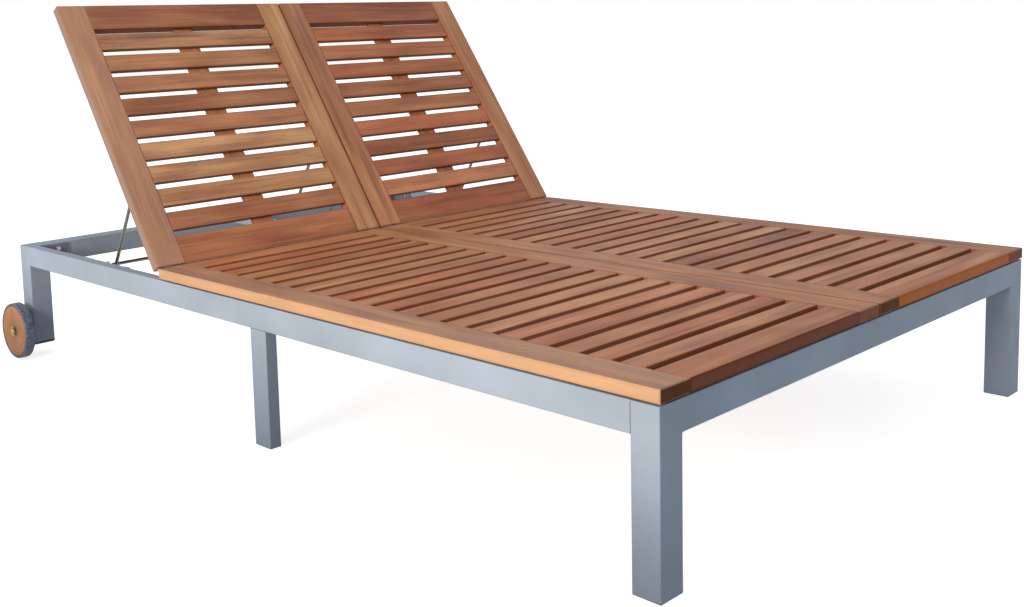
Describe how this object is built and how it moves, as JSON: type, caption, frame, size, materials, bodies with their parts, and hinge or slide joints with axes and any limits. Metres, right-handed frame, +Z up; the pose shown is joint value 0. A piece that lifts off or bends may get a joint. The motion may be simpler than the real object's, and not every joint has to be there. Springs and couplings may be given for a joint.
{
  "type": "double chaise lounger",
  "caption": "Double chaise lounger with slatted wooden seats, separately hinged slatted backrests on rod props, a grey tube frame on legs and wheels at the head end.",
  "frame": {"origin": "on the floor, in the middle of the bounding box with the backrests raised as in the picture", "axes": "+X across the lounger, to the right as seen from the foot end, +Y from the foot end to the head end, +Z up"},
  "size_m": [1.4036, 2.022, 0.8899],
  "materials": {
    "powder_coat": "satin blue-grey powder coat",
    "oiled_hardwood": "oiled reddish brown hardwood",
    "stile_hardwood": "oiled light brown hardwood",
    "dark_end_wood": "oiled dark brown hardwood",
    "orange_end_wood": "oiled orange brown hardwood",
    "wheel_wood": "turned and oiled hardwood",
    "tyre_rubber": "matt blue-grey rubber",
    "bright_steel": "bright drawn steel rod",
    "zinc_steel": "zinc plated steel",
    "brass_plate": "brass plated bolt",
    "black_plastic": "moulded black plastic"
  },
  "bodies": {
    "frame": {"foot_rail": "powder_coat", "head_rail": "powder_coat", "centre_rail": "powder_coat", "cross_rails": "powder_coat", "leg_caps": "black_plastic", "corner_plates": "powder_coat", "plate_bolts": "zinc_steel", "side_racks": "powder_coat", "centre_racks": "powder_coat", "panel_pads": "black_plastic", "seat_screws": "zinc_steel", "seat_hinge_leaves": "zinc_steel", "hinge_pins": "zinc_steel", "axle_bolts": "brass_plate", "wheel_spacers": "black_plastic", "axle_nuts": "zinc_steel", "left_side_rail": "powder_coat", "left_foot_leg": "powder_coat", "left_mid_leg": "powder_coat", "left_head_leg": "powder_coat", "left_seat_outer_stile": "stile_hardwood", "left_seat_inner_stile": "stile_hardwood", "left_foot_board": "dark_end_wood", "left_head_board": "oiled_hardwood", "left_seat_slats": "oiled_hardwood", "left_seat_batten": "oiled_hardwood", "right_side_rail": "powder_coat", "right_foot_leg": "powder_coat", "right_mid_leg": "powder_coat", "right_head_leg": "powder_coat", "right_seat_outer_stile": "stile_hardwood", "right_seat_inner_stile": "stile_hardwood", "right_foot_board": "orange_end_wood", "right_head_board": "oiled_hardwood", "right_seat_slats": "oiled_hardwood", "right_seat_batten": "oiled_hardwood"},
    "left_backrest": {"left_back_outer_stile": "stile_hardwood", "left_back_inner_stile": "stile_hardwood", "left_top_board": "oiled_hardwood", "left_bottom_board": "oiled_hardwood", "left_back_slats": "oiled_hardwood", "left_back_batten": "oiled_hardwood", "left_back_hinge_leaves": "zinc_steel", "left_prop_straps": "zinc_steel"},
    "left_prop": {"left_prop_arms": "bright_steel", "left_prop_bar": "bright_steel"},
    "left_wheel": {"left_wheel_disc": "wheel_wood", "left_tyre": "tyre_rubber"},
    "right_backrest": {"right_back_outer_stile": "stile_hardwood", "right_back_inner_stile": "stile_hardwood", "right_top_board": "oiled_hardwood", "right_bottom_board": "oiled_hardwood", "right_back_slats": "oiled_hardwood", "right_back_batten": "oiled_hardwood", "right_back_hinge_leaves": "zinc_steel", "right_prop_straps": "zinc_steel"},
    "right_prop": {"right_prop_arms": "bright_steel", "right_prop_bar": "bright_steel"},
    "right_wheel": {"right_wheel_disc": "wheel_wood", "right_tyre": "tyre_rubber"}
  },
  "joints": [
    {"name": "left_backrest_hinge", "type": "hinge", "parent": "frame", "child": "left_backrest", "pos_m": [-0.32575, 0.291, 0.3065], "axis": [1, 0, 0], "range_deg": [-56, 7]},
    {"name": "left_prop_pivot", "type": "hinge", "parent": "left_backrest", "child": "left_prop", "pos_m": [-0.31, 0.43769, 0.48499], "axis": [1, 0, 0], "range_deg": [-14.6, 116.8]},
    {"name": "left_wheel_spin", "type": "hinge", "parent": "frame", "child": "left_wheel", "pos_m": [-0.683, 0.94, 0.071], "axis": [1, 0, 0], "continuous": true},
    {"name": "right_backrest_hinge", "type": "hinge", "parent": "frame", "child": "right_backrest", "pos_m": [0.32575, 0.291, 0.3065], "axis": [1, 0, 0], "range_deg": [-56, 7]},
    {"name": "right_prop_pivot", "type": "hinge", "parent": "right_backrest", "child": "right_prop", "pos_m": [0.31, 0.43769, 0.48499], "axis": [1, 0, 0], "range_deg": [-14.6, 116.8]},
    {"name": "right_wheel_spin", "type": "hinge", "parent": "frame", "child": "right_wheel", "pos_m": [0.683, 0.94, 0.071], "axis": [1, 0, 0], "continuous": true}
  ],
  "couplings": [
    {"joint": "left_prop_pivot", "follows": "left_backrest_hinge", "ratio": -2.084},
    {"joint": "right_prop_pivot", "follows": "right_backrest_hinge", "ratio": -2.084}
  ]
}
